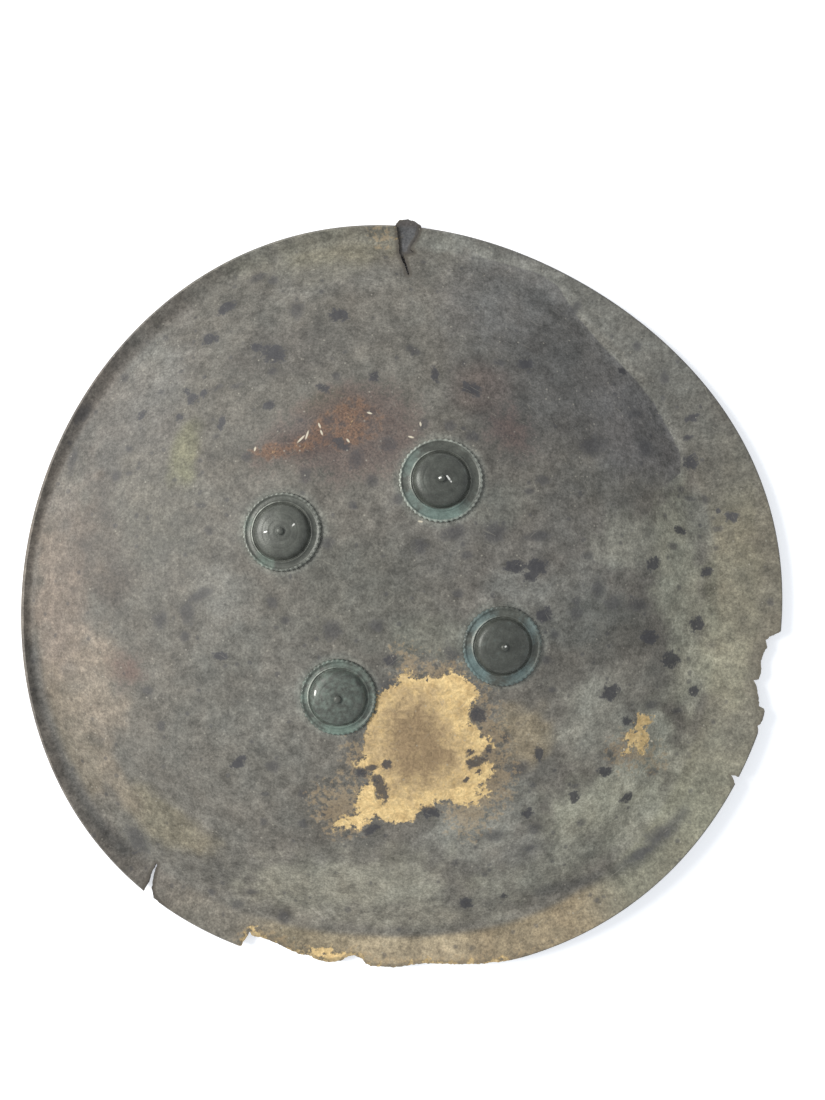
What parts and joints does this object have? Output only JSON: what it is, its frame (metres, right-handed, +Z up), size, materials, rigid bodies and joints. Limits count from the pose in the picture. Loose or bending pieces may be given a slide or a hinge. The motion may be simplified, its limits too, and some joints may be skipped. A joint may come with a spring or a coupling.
{
  "type": "buckler shield",
  "caption": "Old round shield of pressed hide with a turned-up lip and riveted domed metal bosses, lying on its rim with the outer face up.",
  "frame": {"origin": "middle of the shield's outline in plan, on the surface that its rim lies on", "axes": "+Z up through the crown of the dome, with the outer face up; +X towards the raised, broken edge and +Y towards the torn edge, as the picture shows them from above"},
  "size_m": [0.4834, 0.4726, 0.0617],
  "materials": {
    "old_hide": "matte",
    "aged_brass": "satin"
  },
  "bodies": {
    "root": {"hide": "old_hide", "boss_upper_right": "aged_brass", "boss_upper_left": "aged_brass", "boss_lower_left": "aged_brass", "boss_lower_right": "aged_brass", "rivet_upper_right": "aged_brass", "rivet_upper_left": "aged_brass", "rivet_lower_left": "aged_brass", "rivet_lower_right": "aged_brass"}
  },
  "joints": []
}
